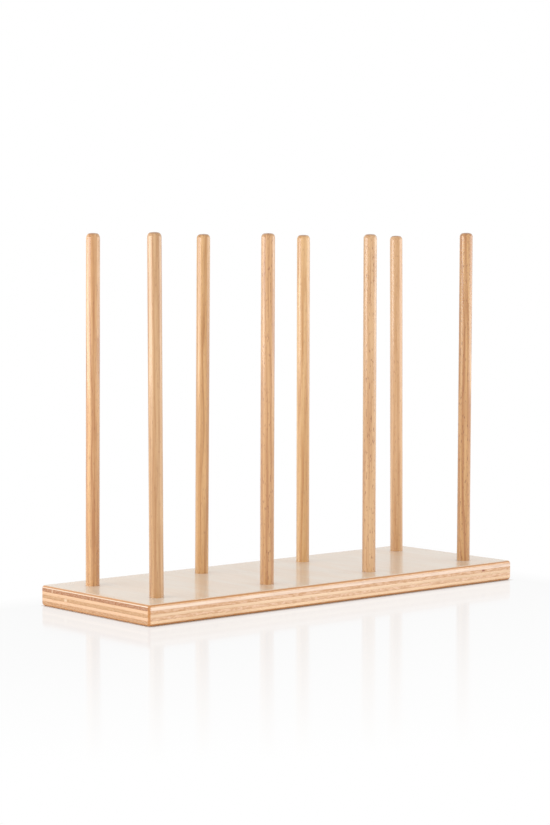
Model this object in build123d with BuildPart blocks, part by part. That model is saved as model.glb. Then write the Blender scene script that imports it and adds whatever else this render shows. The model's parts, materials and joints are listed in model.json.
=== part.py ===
from build123d import *
import os

# Peg loom: two rows of turned wooden pegs standing in a plywood base board.
# Origin at the middle of the board's underside, X along the rows, Z up, millimetres.

# Base board
BOARD_LENGTH = 424
BOARD_WIDTH = 153
EDGE_ROUND = 3  # worked along every edge and corner
LAYUP = {  # the glued veneers from the bottom up, and the thickness of each
    "bottom_face_veneer": 2.0,
    "lower_crossband": 2.5,
    "lower_core_veneer": 2.75,
    "centre_veneer": 2.75,
    "upper_core_veneer": 2.75,
    "upper_crossband": 3.0,
    "top_face_veneer": 2.25,
}
BOARD_THICKNESS = sum(LAYUP.values())

# Pegs and the blind holes that they stand in
PEG_DIAMETER = 12  # also the diameter of the drilled holes
PEG_TIP_HEIGHT = 320  # above the board's underside
CUT_LONGER = {"peg_front_4": 2}  # by how much a peg's tip stands above the others
PEG_TIP_ROUND = 2
PEG_FOOT_CHAMFER = 1
SEAT_DEPTH = 12
SEAT_EASING = 0.05  # taken off the radius of a peg's seated end, so that it lifts out by hand
EASING_RUNOUT = 0.75  # below the board's top, where the seated end widens to the full shaft
PEGS_PER_ROW = 4
PEG_PITCH = 120
ROW_SPACING = 90


def save(piece, name):
    """Labels a finished piece and writes it as its own STEP file."""
    piece.label = name
    export_step(piece, f"parts/{name}.step")


def make_board():
    """The whole pressed board: rounded all over, with the blind holes drilled."""
    with BuildPart() as board:
        with BuildSketch():
            Rectangle(BOARD_LENGTH, BOARD_WIDTH)
        extrude(amount=BOARD_THICKNESS)
        fillet(board.edges(), EDGE_ROUND)
        with BuildSketch(Plane.XY.offset(BOARD_THICKNESS)):
            with GridLocations(PEG_PITCH, ROW_SPACING, PEGS_PER_ROW, 2):
                Circle(PEG_DIAMETER / 2)
        extrude(amount=-SEAT_DEPTH, mode=Mode.SUBTRACT)
    return board.part


def make_veneer(board, underside, thickness):
    """The slice of the board between two glue lines."""
    with BuildPart() as veneer:
        add(board)
        with BuildSketch(Plane.XY.offset(underside)):
            Rectangle(BOARD_LENGTH, BOARD_WIDTH)
        extrude(amount=thickness, mode=Mode.INTERSECT)
    return veneer.part


def make_peg(x, y, tip_height):
    """A turned peg with an eased tip, its seated end on the floor of its hole."""
    radius = PEG_DIAMETER / 2
    seat_floor = BOARD_THICKNESS - SEAT_DEPTH
    length = tip_height - seat_floor
    with BuildPart() as peg:
        with BuildSketch(Plane(origin=(x, y, seat_floor), x_dir=(1, 0, 0), z_dir=(0, -1, 0))) as half:
            with BuildLine():
                Polyline(
                    (0, 0),
                    (radius - SEAT_EASING, 0),
                    (radius - SEAT_EASING, SEAT_DEPTH - EASING_RUNOUT),
                    (radius, SEAT_DEPTH),
                    (radius, length),
                    (0, length),
                    close=True,
                )
            make_face()
            fillet(half.vertices().group_by(Axis.Y)[-1].sort_by(Axis.X)[-1], PEG_TIP_ROUND)
            chamfer(half.vertices().group_by(Axis.Y)[0].sort_by(Axis.X)[-1], PEG_FOOT_CHAMFER)
        revolve(axis=Axis((x, y, 0), (0, 0, 1)))
    return peg.part


os.makedirs("parts", exist_ok=True)

board = make_board()
glue_line = 0
for name, thickness in LAYUP.items():
    save(make_veneer(board, glue_line, thickness), name)
    glue_line += thickness

for row, y in (("front", -ROW_SPACING / 2), ("rear", ROW_SPACING / 2)):
    for number in range(PEGS_PER_ROW):
        x = (number - (PEGS_PER_ROW - 1) / 2) * PEG_PITCH
        name = f"peg_{row}_{number + 1}"
        save(make_peg(x, y, PEG_TIP_HEIGHT + CUT_LONGER.get(name, 0)), name)
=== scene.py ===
import json
import math

import bmesh
import bpy
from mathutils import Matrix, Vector, noise


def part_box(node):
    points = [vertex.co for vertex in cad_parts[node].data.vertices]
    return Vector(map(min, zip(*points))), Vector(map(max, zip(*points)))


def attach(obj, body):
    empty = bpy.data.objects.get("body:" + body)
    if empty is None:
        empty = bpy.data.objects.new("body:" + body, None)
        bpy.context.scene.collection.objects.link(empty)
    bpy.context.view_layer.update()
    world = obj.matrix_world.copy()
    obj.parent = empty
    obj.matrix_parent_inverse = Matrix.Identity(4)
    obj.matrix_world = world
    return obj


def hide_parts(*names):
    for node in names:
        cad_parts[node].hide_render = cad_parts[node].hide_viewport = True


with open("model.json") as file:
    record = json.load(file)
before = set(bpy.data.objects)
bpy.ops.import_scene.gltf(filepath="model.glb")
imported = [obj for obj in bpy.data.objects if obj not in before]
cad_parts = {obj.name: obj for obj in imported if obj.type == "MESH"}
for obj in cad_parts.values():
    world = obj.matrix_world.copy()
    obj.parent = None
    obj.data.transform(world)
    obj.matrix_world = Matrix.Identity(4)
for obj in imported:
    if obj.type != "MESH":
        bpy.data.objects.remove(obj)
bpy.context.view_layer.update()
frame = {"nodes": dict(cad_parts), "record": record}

MM = 0.001
SNAP = 1e-7  # points closer together than this are one point

# ---------------------------------------------------------------- measures of the loom
VENEERS = (  # bottom to top; the even ones have their grain along the board, the others across
    "bottom_face_veneer",
    "lower_crossband",
    "lower_core_veneer",
    "centre_veneer",
    "upper_core_veneer",
    "upper_crossband",
    "top_face_veneer",
)
PEGS = [name for name in frame["nodes"] if name.startswith("peg_")]
BOARD_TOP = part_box("top_face_veneer")[1].z
HALF_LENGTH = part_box("centre_veneer")[1].x
HALF_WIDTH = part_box("centre_veneer")[1].y
EDGE_ROUND = 3.0 * MM
GLUE_GROOVE = 0.06 * MM  # how far a glue line is sunk into the board's sides
GROOVE_HEIGHT = 0.12 * MM
RIM_BREAK = 0.2 * MM  # chamfer on the rim of each hole
PEG_RADIUS = 6.0 * MM
SEAT_EASING = 0.05 * MM
EASING_RUNOUT = 0.75 * MM
FOOT_CHAMFER = 1.0 * MM


def peg_centre(name):
    low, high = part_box(name)
    return Vector(((low.x + high.x) / 2, (low.y + high.y) / 2, 0))


# ---------------------------------------------------------------- mesh building
def add_ring(bm, points):
    return [bm.verts.new(p) for p in points]


def bridge(bm, lower, upper):
    """Quads between two rings with the same number of points, facing outwards if both run anticlockwise."""
    count = len(lower)
    for i in range(count):
        j = (i + 1) % count
        bm.faces.new((lower[i], lower[j], upper[j], upper[i])).smooth = True


def finish_mesh(bm, name):
    bmesh.ops.remove_doubles(bm, verts=bm.verts, dist=SNAP)
    bmesh.ops.recalc_face_normals(bm, faces=bm.faces)
    mesh = bpy.data.meshes.new(name)
    bm.to_mesh(mesh)
    bm.free()
    piece = bpy.data.objects.new(name, mesh)
    bpy.context.scene.collection.objects.link(piece)
    return piece


def stand_in(piece, node):
    """piece takes the place of a CAD node: it rides on the node's body, and the node is hidden."""
    body = next(b for b, members in frame["record"]["behaviour"]["bodies"].items() if node in members)
    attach(piece, body)
    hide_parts(node)


# ---------------------------------------------------------------- the board
CORNER_STEPS = 12  # round each upright corner
ROUND_STEPS = 16  # up each rounded edge
SIDE_STEP = 10 * MM  # between the points along each side
HOLE_SIDES = 64


def board_inset(z):
    """How far the board's side stands back at height z, because its edges are rounded."""
    from_face = max(min(z, BOARD_TOP - z), 0.0)  # z may lie a rounding error outside the board
    depth = EDGE_ROUND - from_face
    return EDGE_ROUND - math.sqrt(EDGE_ROUND**2 - depth**2) if depth > 0 else 0.0


def board_outline(z, extra=0.0):
    """Points round the board at height z, anticlockwise from the rear end of its right side."""
    inset = board_inset(z) + extra
    corner = max(EDGE_ROUND - inset, 0.0)
    half_x, half_y = HALF_LENGTH - EDGE_ROUND, HALF_WIDTH - EDGE_ROUND
    points = []
    for quarter in range(4):
        turn = math.radians(90 * quarter)
        side_x = 1 if quarter in (0, 3) else -1
        side_y = 1 if quarter in (0, 1) else -1
        middle = Vector((half_x * side_x, half_y * side_y, z))
        for step in range(CORNER_STEPS + 1):
            angle = turn + math.radians(90) * step / CORNER_STEPS
            points.append(middle + corner * Vector((math.cos(angle), math.sin(angle), 0)))
        run = 2 * (half_x if quarter % 2 == 0 else half_y)
        steps = round(run / SIDE_STEP)
        last = points[-1]
        along = Vector((math.cos(turn + math.pi), math.sin(turn + math.pi), 0))
        for step in range(1, steps):
            points.append(last + along * run * step / steps)
    return points


def veneer_levels(low, high):
    """Heights of the rings up a veneer's side, closer together where the board's edge is rounded."""
    levels = {low, high}
    if low > SNAP:
        levels.add(low + GROOVE_HEIGHT)
    if high < BOARD_TOP - SNAP:
        levels.add(high - GROOVE_HEIGHT)
    for step in range(ROUND_STEPS + 1):
        rise = EDGE_ROUND * (1 - math.cos(math.radians(90) * step / ROUND_STEPS))
        for z in (rise, BOARD_TOP - rise):
            if low < z < high:
                levels.add(z)
    return sorted(levels)


def close_flat(bm, z):
    """Fills the open boundary at height z with a flat face, leaving its holes open."""
    rim = [e for e in bm.edges if e.is_boundary and all(abs(v.co.z - z) < SNAP for v in e.verts)]
    for face in bmesh.ops.triangle_fill(bm, use_beauty=True, edges=rim)["geom"]:
        if isinstance(face, bmesh.types.BMFace):
            face.smooth = False


def circle(centre, radius, z):
    turns = (2 * math.pi * i / HOLE_SIDES for i in range(HOLE_SIDES))
    return [Vector((centre.x + radius * math.cos(t), centre.y + radius * math.sin(t), z)) for t in turns]


def make_veneer(name):
    """One sheet of the board: rounded where it meets the board's edges, with the peg holes through it."""
    low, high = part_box(name)[0].z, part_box(name)[1].z
    seat_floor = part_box(PEGS[0])[0].z
    bm = bmesh.new()
    rings = []
    for z in veneer_levels(low, high):
        on_glue_line = (z == low and low > SNAP) or (z == high and high < BOARD_TOP - SNAP)
        rings.append(add_ring(bm, board_outline(z, GLUE_GROOVE if on_glue_line else 0.0)))
    for lower, upper in zip(rings, rings[1:]):
        bridge(bm, lower, upper)
    if high > seat_floor:
        foot = max(low, seat_floor)
        for peg in PEGS:
            centre = peg_centre(peg)
            outline = [(PEG_RADIUS, foot), (PEG_RADIUS, high)]
            if name == VENEERS[-1]:
                outline[-1:] = [(PEG_RADIUS, high - RIM_BREAK), (PEG_RADIUS + RIM_BREAK, high)]
            wall = [add_ring(bm, circle(centre, radius, z)) for radius, z in outline]
            for lower, upper in zip(wall, wall[1:]):
                bridge(bm, lower, upper)
            if foot > low:
                bm.faces.new(wall[0])
    bmesh.ops.remove_doubles(bm, verts=bm.verts, dist=SNAP)
    close_flat(bm, low)
    close_flat(bm, high)
    return finish_mesh(bm, name + "_sheet")


# ---------------------------------------------------------------- the pegs
# How each peg stands in its hole and was cut: its lean to the camera's right in degrees, and the
# height in mm of the rounding at its tip.
PEG_HABITS = {
    "peg_rear_1": (0.37, 4.6),
    "peg_front_1": (-0.15, 4.2),
    "peg_rear_2": (0.42, 3.8),
    "peg_front_2": (0.22, 3.8),
    "peg_rear_3": (0.10, 3.9),
    "peg_front_3": (0.10, 4.0),
    "peg_rear_4": (-0.25, 4.2),
    "peg_front_4": (0.22, 3.6),
}
CAMERA_AZIMUTH = math.radians(40.55)  # from +Y towards +X
CAMERA_RIGHT = Vector((math.cos(CAMERA_AZIMUTH), -math.sin(CAMERA_AZIMUTH), 0))
CAMERA_AHEAD = Vector((math.sin(CAMERA_AZIMUTH), math.cos(CAMERA_AZIMUTH), 0))
PEG_SIDES = 64
SHAFT_RINGS = 60
TIP_RINGS = 10
TIP_INSET = 3.0 * MM  # from the shaft's side to the rim of the nearly flat tip
TIP_DOME = 0.3 * MM  # by which the tip's middle stands above that rim
DOME_RINGS = (0.66, 0.33, 0.0)  # radii of the tip's last rings, as shares of that rim's
WOBBLE = 0.04 * MM  # how uneven a shaft is, by a noise with these cells:
WOBBLE_ROUND = 0.6  # round the shaft
WOBBLE_ALONG = 24  # per metre up it
WOBBLE_SPREAD = 9  # per metre from peg to peg, so that no two are alike
TRUE_TIP = 4 * MM  # the length below a peg's tip that is even


def peg_profile(foot, tip, tip_round):
    """(height, radius) up a peg, from the middle of its foot to the middle of its tip."""
    seat = PEG_RADIUS - SEAT_EASING
    profile = [(foot, 0.0), (foot, seat - FOOT_CHAMFER), (foot + FOOT_CHAMFER, seat)]
    profile += [(BOARD_TOP - EASING_RUNOUT, seat), (BOARD_TOP, PEG_RADIUS)]
    shoulder = tip - TIP_DOME - tip_round
    for i in range(1, SHAFT_RINGS + 1):
        profile.append((BOARD_TOP + (shoulder - BOARD_TOP) * i / SHAFT_RINGS, PEG_RADIUS))
    for i in range(1, TIP_RINGS + 1):
        angle = math.radians(90) * i / TIP_RINGS
        inset = TIP_INSET * (1 - math.cos(angle))
        profile.append((shoulder + tip_round * math.sin(angle), PEG_RADIUS - inset))
    for share in DOME_RINGS:
        profile.append((tip - TIP_DOME * share**2, (PEG_RADIUS - TIP_INSET) * share))
    return profile


def shaft_wobble(centre, angle, z):
    """How far a point on a shaft stands out of true; it is the same in each run."""
    x = centre.x * WOBBLE_SPREAD + WOBBLE_ROUND * math.cos(angle)
    y = centre.y * WOBBLE_SPREAD + WOBBLE_ROUND * math.sin(angle)
    return WOBBLE * noise.noise(Vector((x, y, z * WOBBLE_ALONG)))


def make_peg(name):
    """A turned peg that leans a little about the middle of its seat, with a slightly uneven shaft."""
    low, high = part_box(name)
    lean, tip_round = PEG_HABITS[name]
    centre = peg_centre(name)
    pivot = (low.z + BOARD_TOP) / 2
    slope = math.tan(math.radians(lean))
    bm = bmesh.new()
    rings = []
    for z, radius in peg_profile(low.z, high.z, tip_round * MM):
        middle = centre + CAMERA_RIGHT * slope * (z - pivot)
        if radius == 0:
            rings.append([bm.verts.new((middle.x, middle.y, z))])
            continue
        points = []
        for i in range(PEG_SIDES):
            angle = 2 * math.pi * i / PEG_SIDES
            uneven = BOARD_TOP < z < high.z - TRUE_TIP
            reach = radius + (shaft_wobble(centre, angle, z) if uneven else 0.0)
            points.append((middle.x + reach * math.cos(angle), middle.y + reach * math.sin(angle), z))
        rings.append(add_ring(bm, points))
    for lower, upper in zip(rings, rings[1:]):
        if len(lower) == 1:
            for i in range(PEG_SIDES):
                bm.faces.new((lower[0], upper[(i + 1) % PEG_SIDES], upper[i]))
        elif len(upper) == 1:
            for i in range(PEG_SIDES):
                bm.faces.new((lower[i], lower[(i + 1) % PEG_SIDES], upper[0])).smooth = True
        else:
            bridge(bm, lower, upper)
    return finish_mesh(bm, name + "_turned")


# ---------------------------------------------------------------- materials
BUMP_DEPTH = 0.2 * MM
WOOD_ROUGHNESS = (0.36, 0.48)  # where the grain's noise is low, and where it is high


def srgb(red, green, blue):
    """A colour given in 0 to 255 display values, as the linear colour that the shaders take."""
    channels = (c / 255 for c in (red, green, blue))
    return (*(c / 12.92 if c <= 0.04045 else ((c + 0.055) / 1.055) ** 2.4 for c in channels), 1.0)


class Graph:
    """Builds a material's nodes; every method returns an output socket."""

    def __init__(self, name):
        self.material = bpy.data.materials.new(name)
        self.material.use_nodes = True
        self.tree = self.material.node_tree
        self.shader = next(n for n in self.tree.nodes if n.type == "BSDF_PRINCIPLED")

    def node(self, kind, inputs=(), **settings):
        made = self.tree.nodes.new(kind)
        for key, value in settings.items():
            setattr(made, key, value)
        for key, value in dict(inputs).items():
            self.put(value, made.inputs[key])
        return made

    def put(self, value, socket):
        if isinstance(value, bpy.types.NodeSocket):
            self.tree.links.new(value, socket)
        else:
            socket.default_value = value

    def math(self, operation, a, b=0.0):
        return self.node("ShaderNodeMath", {0: a, 1: b}, operation=operation).outputs[0]

    def vector_math(self, operation, a, b):
        return self.node("ShaderNodeVectorMath", {0: a, 1: b}, operation=operation).outputs[0]

    def grain(self, place, cells, detail=2.0, roughness=0.5):
        """Noise with the given cells per metre along each axis."""
        scaled = self.vector_math("MULTIPLY", place, cells)
        inputs = {"Vector": scaled, "Scale": 1.0, "Detail": detail, "Roughness": roughness}
        return self.node("ShaderNodeTexNoise", inputs).outputs["Fac"]

    def remap(self, value, low, high, new_low=0.0, new_high=1.0, smooth=True):
        inputs = {
            "Value": value,
            "From Min": low,
            "From Max": high,
            "To Min": new_low,
            "To Max": new_high,
        }
        kind = "SMOOTHSTEP" if smooth else "LINEAR"
        return self.node("ShaderNodeMapRange", inputs, interpolation_type=kind).outputs[0]

    def mix(self, factor, a, b):
        made = self.node("ShaderNodeMix", data_type="RGBA")
        for socket, value in zip((made.inputs[0], made.inputs[6], made.inputs[7]), (factor, a, b)):
            self.put(value, socket)
        return made.outputs[2]

    def surface(self, **sockets):
        for key, value in sockets.items():
            self.put(value, self.shader.inputs[key.replace("_", " ")])

    def bump(self, height, strength):
        inputs = {"Height": height, "Strength": strength, "Distance": BUMP_DEPTH}
        return self.node("ShaderNodeBump", inputs).outputs[0]


def lacquer(graph, coat, roughness):
    """Clear satin varnish over the wood, in a coat of the given weight."""
    graph.surface(IOR=1.45, Coat_Weight=coat, Coat_Roughness=roughness, Coat_IOR=1.5)


def end_grain_share(graph):
    """How much of a peg's end grain shows: none on its shaft, most on its flat tip."""
    normal = graph.node("ShaderNodeNewGeometry").outputs["Normal"]
    height = graph.node("ShaderNodeSeparateXYZ", {0: normal}).outputs[2]
    return graph.remap(height, 0.45, 0.97, 0.0, 0.75)


PORE = srgb(138, 84, 52)
END_GRAIN = srgb(158, 102, 60)
PEG_GRAIN = {  # noise cells per metre: across a peg both ways, and along it
    "wander": (90, 90, 8),
    "patches": (120, 120, 6),
    "broad": (150, 150, 4.5),
    "bands": (400, 400, 10),
    "fibres": (850, 850, 22),
    "pores": (1400, 1400, 210),
}
RING_WANDER = 2.5 * MM  # how far a growth ring strays from its plane


def peg_wood(name, centre, seed, wood):
    """Straight-grained dowel: growth rings cut lengthways, fine fibres and pores, and dark end grain."""
    g = Graph(name)
    place = g.node("ShaderNodeTexCoord").outputs["Object"]
    place = g.vector_math("SUBTRACT", place, (centre.x, centre.y, 0))
    shifted = g.vector_math("ADD", place, (seed * 1.37, seed * 2.11, seed * 0.53))
    turn = math.radians(wood["ring_turn"])
    across = g.node("ShaderNodeVectorMath", {0: place}, operation="DOT_PRODUCT")
    across.inputs[1].default_value = (math.cos(turn), math.sin(turn), wood["slant"])
    wander = g.grain(shifted, PEG_GRAIN["wander"])
    wander = g.remap(wander, 0.2, 0.8, -RING_WANDER, RING_WANDER, smooth=False)
    across = g.math("ADD", across.outputs["Value"], wander)
    ring = g.math("FRACT", g.math("DIVIDE", across, wood["ring_width"] * MM))
    late = g.math("MULTIPLY", g.remap(ring, 0.3, 0.88), g.remap(ring, 0.9, 1.0, 1.0, 0.0))
    patchy = g.grain(shifted, PEG_GRAIN["patches"])
    late = g.math("MULTIPLY", late, g.remap(patchy, 0.3, 0.65, 0.25, wood["ring_strength"]))
    broad = g.grain(shifted, PEG_GRAIN["broad"])
    bands = g.grain(shifted, PEG_GRAIN["bands"], 2.0, 0.55)
    fibres = g.grain(shifted, PEG_GRAIN["fibres"], 3.0, 0.6)
    pores = g.grain(shifted, PEG_GRAIN["pores"], 1.0)
    colour = g.mix(g.remap(broad, 0.36, 0.64), wood["light"], wood["dark"])
    colour = g.mix(late, colour, wood["streak"])
    colour = g.mix(g.remap(bands, 0.5, 0.66, 0.0, 0.5), colour, wood["streak"])
    colour = g.mix(g.remap(bands, 0.48, 0.34, 0.0, 0.5), colour, wood["light"])
    colour = g.mix(g.remap(fibres, 0.5, 0.68, 0.0, 0.45), colour, wood["streak"])
    colour = g.mix(g.remap(fibres, 0.48, 0.3, 0.0, 0.35), colour, wood["light"])
    pitted = g.remap(pores, 0.63, 0.71)
    colour = g.mix(g.math("MULTIPLY", pitted, wood["pores"]), colour, PORE)
    colour = g.mix(end_grain_share(g), colour, END_GRAIN)
    height = g.math("SUBTRACT", fibres, pitted)
    lacquer(g, coat=1.0, roughness=0.16)
    g.surface(
        Base_Color=colour,
        Roughness=g.remap(fibres, 0.3, 0.7, *WOOD_ROUGHNESS),
        Normal=g.bump(height, 0.06),
    )
    return g.material


MARK_SOFTNESS = 0.6 * MM


def box_mask(g, place, centre, half):
    """1 inside a soft-edged box of the given half size round centre, and 0 outside it."""
    offset = g.vector_math("ABSOLUTE", g.vector_math("SUBTRACT", place, centre), (0, 0, 0))
    parts = g.node("ShaderNodeSeparateXYZ", {0: offset})
    mask = 1.0
    for distance, reach in zip(parts.outputs, half):
        side = g.remap(distance, reach - MARK_SOFTNESS, reach + MARK_SOFTNESS, 1.0, 0.0)
        mask = g.math("MULTIPLY", side, mask)
    return mask


GLUE = srgb(150, 98, 58)
# a browner tone painted on rounded edges and upright corners as shade
PAINTED_EDGE_SHADE = srgb(184, 122, 62)
PALE_FLECK = srgb(250, 224, 204)
GLUE_BAND = 0.16 * MM  # how far a glue line's colour reaches into each sheet
SHEET_GRAIN = {  # noise cells per metre: along a sheet's grain, across it, and through the sheet
    "broad": (9, 60, 160),
    "streaks": (26, 600, 1300),
    "pores": (150, 1700, 1700),
    "long_fleck": (60, 420, 1300),
    "cross_fleck": (60, 190, 900),
}


def veneer_wood(name, seed, along_board, side, end, marks):
    """A sheet of veneer: side grain on faces along the grain, darker end grain across it."""
    low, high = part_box(name)[0].z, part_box(name)[1].z
    g = Graph(name)
    place = g.node("ShaderNodeTexCoord").outputs["Object"]
    turn = 0.0 if along_board else math.radians(90)
    turned = g.node("ShaderNodeMapping", {"Vector": place, "Rotation": (0, 0, turn)}).outputs[0]
    turned = g.vector_math("ADD", turned, (seed * 0.71, seed * 1.93, seed * 0.37))
    broad = g.grain(turned, SHEET_GRAIN["broad"], 3.0, 0.55)
    streaks = g.grain(turned, SHEET_GRAIN["streaks"], 3.0, 0.6)
    pores = g.grain(turned, SHEET_GRAIN["pores"], 1.0)
    fleck = g.grain(turned, SHEET_GRAIN["long_fleck" if along_board else "cross_fleck"], 3.0, 0.65)
    normal = g.node("ShaderNodeNewGeometry").outputs["Normal"]
    facing = g.node("ShaderNodeSeparateXYZ", {0: g.vector_math("ABSOLUTE", normal, (0, 0, 0))})

    # the wood: side grain, calmer on the flat top, and end grain where the face is across the grain
    dull = g.mix(0.55, side, end)
    pale_end = g.mix(0.2, end, side) if along_board else g.mix(0.3, end, PALE_FLECK)
    flat = g.remap(facing.outputs[2], 0.8, 0.98)
    fine = g.math("SUBTRACT", 1.0, g.math("MULTIPLY", flat, 0.75))
    side_colour = g.mix(g.remap(broad, 0.35, 0.65, 0.0, 0.5), side, dull)
    side_colour = g.mix(g.math("MULTIPLY", g.remap(streaks, 0.5, 0.75, 0.0, 0.55), fine), side_colour, end)
    side_colour = g.mix(g.math("MULTIPLY", g.remap(pores, 0.67, 0.75, 0.0, 0.45), fine), side_colour, PORE)
    end_colour = g.mix(g.remap(fleck, 0.42, 0.6), end, pale_end)
    end_colour = g.mix(g.remap(fleck, 0.5, 0.36, 0.0, 0.18), end_colour, GLUE)
    end_colour = g.mix(g.remap(pores, 0.6, 0.72, 0.0, 0.25), end_colour, PORE)
    colour = g.mix(g.remap(facing.outputs[0 if along_board else 1], 0.45, 0.85), side_colour, end_colour)

    # edges and upright corners darkened to a browner tone: painted shade on their rounding
    squarest = g.math("MAXIMUM", g.math("MAXIMUM", facing.outputs[0], facing.outputs[1]), facing.outputs[2])
    level = g.remap(facing.outputs[2], 0.05, 0.2)
    edge_shade = g.mix(level, g.remap(squarest, 0.995, 0.85, 0.0, 0.8), g.remap(squarest, 0.95, 0.8, 0.0, 0.9))
    colour = g.mix(edge_shade, colour, PAINTED_EDGE_SHADE)

    # glue lines on the sides, and this sheet's own marks
    depth = g.node("ShaderNodeSeparateXYZ", {0: place}).outputs[2]
    middle, reach = (low + high) / 2, (high - low) / 2
    edge = g.math("ABSOLUTE", g.math("SUBTRACT", depth, middle))
    glued = g.remap(edge, reach - GLUE_BAND, reach, 0.0, 0.6)
    on_side = g.remap(facing.outputs[2], 0.5, 0.2)
    colour = g.mix(g.math("MULTIPLY", on_side, glued), colour, GLUE)
    for centre, half, tone, share in marks:
        colour = g.mix(g.math("MULTIPLY", box_mask(g, place, centre, half), share), colour, tone)

    lacquer(g, coat=0.6, roughness=0.12)
    g.surface(
        Base_Color=colour,
        Roughness=g.remap(streaks, 0.3, 0.7, *WOOD_ROUGHNESS),
        Normal=g.bump(streaks, 0.1),
        Specular_IOR_Level=0.25,
    )
    return g.material


# ---------------------------------------------------------------- build the loom
VENEER_TONES = {  # side grain and end grain of each sheet
    # the bottom sheet's tones are its wood's own, darkened in part as painted shade along the foot of the
    # board
    "bottom_face_veneer": (srgb(208, 162, 114), srgb(194, 142, 92)),
    "lower_crossband": (srgb(236, 204, 168), srgb(176, 130, 88)),
    "lower_core_veneer": (srgb(212, 174, 139), srgb(209, 168, 132)),
    "centre_veneer": (srgb(230, 200, 168), srgb(180, 137, 94)),
    "upper_core_veneer": (srgb(212, 174, 138), srgb(199, 154, 114)),
    "upper_crossband": (srgb(240, 217, 197), srgb(154, 98, 52)),
    "top_face_veneer": (srgb(219, 203, 183), srgb(222, 182, 140)),
}
FILLER = srgb(246, 222, 192)
VENEER_MARKS = {  # filled gaps on the left end, and a pin knot in the front: place, half size, tone, share
    "upper_crossband": [
        (Vector((-HALF_LENGTH, 59.4 * MM, 14.2 * MM)), Vector((1, 1.0, 1.2)) * MM, FILLER, 0.35),
    ],
    "centre_veneer": [
        (Vector((-HALF_LENGTH, 40 * MM, 8.6 * MM)), Vector((1, 2.0, 1.2)) * MM, FILLER, 0.4),
    ],
    "upper_core_veneer": [
        (Vector((174.6 * MM, -HALF_WIDTH, 11.8 * MM)), Vector((1.7, 1, 0.8)) * MM, srgb(134, 66, 44), 0.9),
    ],
}
for number, name in enumerate(VENEERS, 1):
    along_board = number % 2 == 0
    sheet = make_veneer(name)
    side, end = VENEER_TONES[name]
    wood = veneer_wood(name, number, along_board, side, end, VENEER_MARKS.get(name, []))
    sheet.data.materials.append(wood)
    stand_in(sheet, name)


def dowel(light, dark, streak, ring_turn, slant, ring_width, ring_strength, pores):
    """One peg's wood: its tones, how its rings lie, their width in mm, how strong rings and pores are."""
    return {
        "light": srgb(*light),
        "dark": srgb(*dark),
        "streak": srgb(*streak),
        "ring_turn": ring_turn,
        "slant": slant,
        "ring_width": ring_width,
        "ring_strength": ring_strength,
        "pores": pores,
    }


PEG_WOODS = {
    "peg_rear_1": dowel((214, 171, 122), (194, 145, 94), (166, 109, 60), -60, 0.010, 5.0, 0.7, 0.4),
    "peg_front_1": dowel((201, 162, 119), (185, 142, 95), (163, 114, 67), -35, 0.004, 4.2, 0.4, 0.35),
    "peg_rear_2": dowel((211, 168, 116), (195, 148, 92), (165, 112, 56), -50, -0.022, 5.5, 0.8, 0.4),
    "peg_front_2": dowel((207, 164, 116), (191, 144, 94), (165, 112, 66), -30, 0.006, 3.8, 0.65, 0.8),
    "peg_rear_3": dowel((217, 177, 126), (203, 159, 104), (177, 121, 64), -45, -0.028, 6.0, 0.75, 0.35),
    "peg_front_3": dowel((211, 172, 128), (197, 154, 106), (175, 124, 78), -75, 0.008, 4.6, 0.5, 0.95),
    "peg_rear_4": dowel((212, 171, 127), (200, 157, 109), (180, 129, 81), -20, -0.006, 4.4, 0.35, 0.4),
    "peg_front_4": dowel((207, 162, 110), (191, 144, 88), (163, 106, 56), -55, 0.016, 4.0, 0.8, 0.9),
}
for number, name in enumerate(PEGS, 1):
    peg = make_peg(name)
    peg.data.materials.append(peg_wood(name, peg_centre(name), number, PEG_WOODS[name]))
    stand_in(peg, name)

# ---------------------------------------------------------------- floor, light and camera
FLOOR_SIZE = 6.0
REFLECTION = 0.23  # share of what the polished floor mirrors, next to the board
REFLECTION_REACH = 0.50  # from the board, where the floor's faint reflection has faded out
CONTACT_REACH = 0.005  # from the board, where its contact shadow has faded out
BACK_FADE = 10  # how many times sooner both have faded out behind the board and to its right
END_FADE = 3  # how many times sooner the contact shadow has faded out beside the board's left end
FLOOR_POLISH = 0.1  # roughness of what it mirrors
PAINTED_CONTACT_SHADE = (0.8, 0.79, 0.77, 1)  # the floor's colour next to the board, darkened as painted contact shadow


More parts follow.
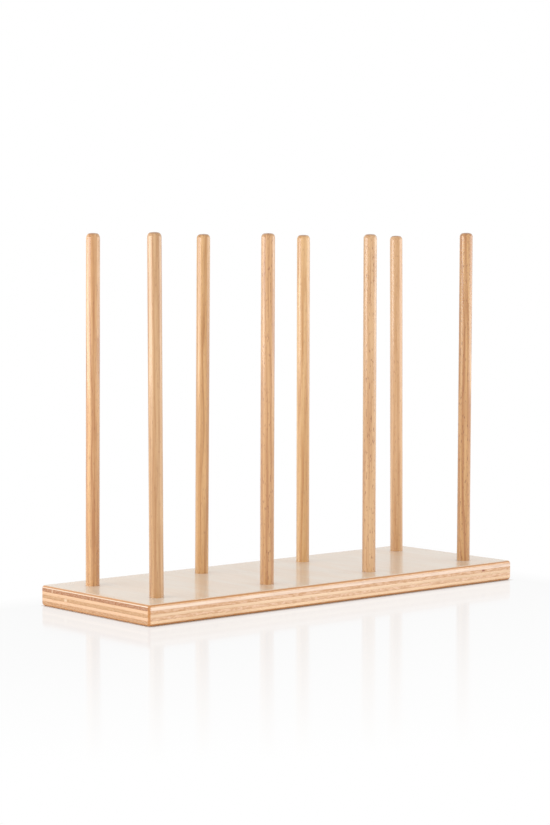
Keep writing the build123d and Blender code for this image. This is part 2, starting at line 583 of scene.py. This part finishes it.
def make_floor():
    """White polished sheet: a contact shadow round the board, partly painted into its colour, and a faint
    reflection before it.
    """
    bm = bmesh.new()
    half = FLOOR_SIZE / 2
    bm.faces.new([bm.verts.new((x * half, y * half, 0)) for x, y in ((-1, -1), (1, -1), (1, 1), (-1, 1))])
    floor = finish_mesh(bm, "floor")
    g = Graph("floor_white")
    place = g.node("ShaderNodeTexCoord").outputs["Object"]
    corner = (HALF_LENGTH, HALF_WIDTH, 0)
    ahead = g.vector_math("MULTIPLY", g.vector_math("SUBTRACT", place, corner), (BACK_FADE, BACK_FADE, 1))
    beyond = g.vector_math("SUBTRACT", g.vector_math("MULTIPLY", place, (-1, -1, -1)), corner)
    beyond = g.vector_math("MAXIMUM", g.vector_math("MAXIMUM", beyond, ahead), (0, 0, 0))
    distance = g.node("ShaderNodeVectorMath", {0: beyond}, operation="LENGTH").outputs["Value"]
    # next to the board the floor is grey: painted contact shadow on top of its real shading
    g.surface(Base_Color=PAINTED_CONTACT_SHADE, Roughness=1.0, Specular_IOR_Level=0.0)
    white = g.node("ShaderNodeEmission", {"Color": (1, 1, 1, 1), "Strength": 1.0}).outputs[0]
    mirror = g.node("ShaderNodeBsdfGlossy", {"Roughness": FLOOR_POLISH}).outputs[0]
    beside = g.vector_math("MULTIPLY", beyond, (END_FADE, 1, 1))
    near = g.node("ShaderNodeVectorMath", {0: beside}, operation="LENGTH").outputs["Value"]
    glow = g.remap(near, 0.0, CONTACT_REACH)
    plain = g.node("ShaderNodeMixShader", {0: glow, 1: g.shader.outputs[0], 2: white}).outputs[0]
    polish = g.remap(distance, 0.0, REFLECTION_REACH, REFLECTION, 0.0, smooth=False)
    both = g.node("ShaderNodeMixShader", {0: polish, 1: plain, 2: mirror}).outputs[0]
    output = next(n for n in g.tree.nodes if n.type == "OUTPUT_MATERIAL")
    g.tree.links.new(both, output.inputs["Surface"])
    floor.data.materials.append(g.material)


def make_world():
    """White to the camera and in reflections. Its light is weaker from above and from the camera's side."""
    world = bpy.data.worlds.new("studio")
    bpy.context.scene.world = world
    world.use_nodes = True
    tree = world.node_tree
    tree.nodes.clear()
    direction = tree.nodes.new("ShaderNodeTexCoord").outputs["Generated"]

    def shade(axis, low, high, away, towards):
        """Strength from away to towards, as the direction's share along axis goes from low to high."""
        facing = tree.nodes.new("ShaderNodeVectorMath")
        facing.operation = "DOT_PRODUCT"
        tree.links.new(direction, facing.inputs[0])
        facing.inputs[1].default_value = axis
        ramp = tree.nodes.new("ShaderNodeMapRange")
        ramp.interpolation_type = "SMOOTHSTEP"
        for key, value in {"From Min": low, "From Max": high, "To Min": away, "To Max": towards}.items():
            ramp.inputs[key].default_value = value
        tree.links.new(facing.outputs["Value"], ramp.inputs["Value"])
        return ramp.outputs[0]

    both = tree.nodes.new("ShaderNodeMath")
    both.operation = "MULTIPLY"
    tree.links.new(shade(CAMERA_AHEAD, -0.9, 0.6, away=1.02, towards=1.1), both.inputs[0])
    tree.links.new(shade((0, 0, 1), 0.3, 0.75, away=1.0, towards=0.6), both.inputs[1])
    path = tree.nodes.new("ShaderNodeLightPath")
    plain = tree.nodes.new("ShaderNodeMath")
    plain.operation = "MAXIMUM"
    tree.links.new(path.outputs["Is Camera Ray"], plain.inputs[0])
    tree.links.new(path.outputs["Is Glossy Ray"], plain.inputs[1])
    strength = tree.nodes.new("ShaderNodeMix")
    tree.links.new(plain.outputs[0], strength.inputs[0])
    tree.links.new(both.outputs[0], strength.inputs[2])
    strength.inputs[3].default_value = 1.0
    background = tree.nodes.new("ShaderNodeBackground")
    background.inputs["Color"].default_value = (1, 1, 1, 1)
    tree.links.new(strength.outputs[0], background.inputs["Strength"])
    output = tree.nodes.new("ShaderNodeOutputWorld")
    tree.links.new(background.outputs[0], output.inputs["Surface"])


def soft_light(name, place, target, size, power, colour=(1, 1, 1), mirrored=True):
    """A lamp behind a rectangular diffuser, in metres and watts, which shows in the varnish if mirrored."""
    light = bpy.data.lights.new(name, "AREA")
    light.shape = "RECTANGLE"
    light.size, light.size_y = size
    light.energy = power
    light.color = colour
    lamp = bpy.data.objects.new(name, light)
    lamp.location = place
    lamp.rotation_euler = (Vector(target) - Vector(place)).to_track_quat("-Z", "Y").to_euler()
    lamp.visible_glossy = mirrored
    bpy.context.scene.collection.objects.link(lamp)


CAMERA_LENS = 99.36
CAMERA_PLACE = (-1.3235, -1.5326, 0.2979)
CAMERA_PITCH = math.radians(3.86)  # below level


def make_camera():
    camera = bpy.data.cameras.new("camera")
    camera.lens = CAMERA_LENS
    holder = bpy.data.objects.new("camera", camera)
    holder.location = CAMERA_PLACE
    holder.rotation_euler = (math.radians(90) - CAMERA_PITCH, 0, -CAMERA_AZIMUTH)
    bpy.context.scene.collection.objects.link(holder)
    bpy.context.scene.camera = holder


def from_camera(degrees, distance, height):
    """A place round the loom, by its angle from the camera's side: positive is to the camera's right."""
    angle = math.radians(degrees)
    outward = CAMERA_RIGHT * math.sin(angle) - CAMERA_AHEAD * math.cos(angle)
    return outward * distance + Vector((0, 0, height))


LOOM_MIDDLE = Vector((0, 0, 0.15))
PEG_FEET = Vector((0, 0, 0.06))
WARM = (1.0, 0.86, 0.68)  # as the light that the board throws back up on the pegs

make_floor()
make_world()
soft_light("left_box", from_camera(-68, 0.95, 0.35), LOOM_MIDDLE, size=(0.95, 0.42), power=5.1)
low_place = from_camera(12, 0.85, 0.06)
soft_light("low_box", low_place, PEG_FEET, size=(0.9, 0.10), power=1.5, colour=WARM, mirrored=False)
soft_light("right_box", from_camera(97, 1.0, 0.36), LOOM_MIDDLE, size=(0.9, 0.5), power=3.2)
make_camera()
bpy.context.scene.view_settings.view_transform = "Standard"
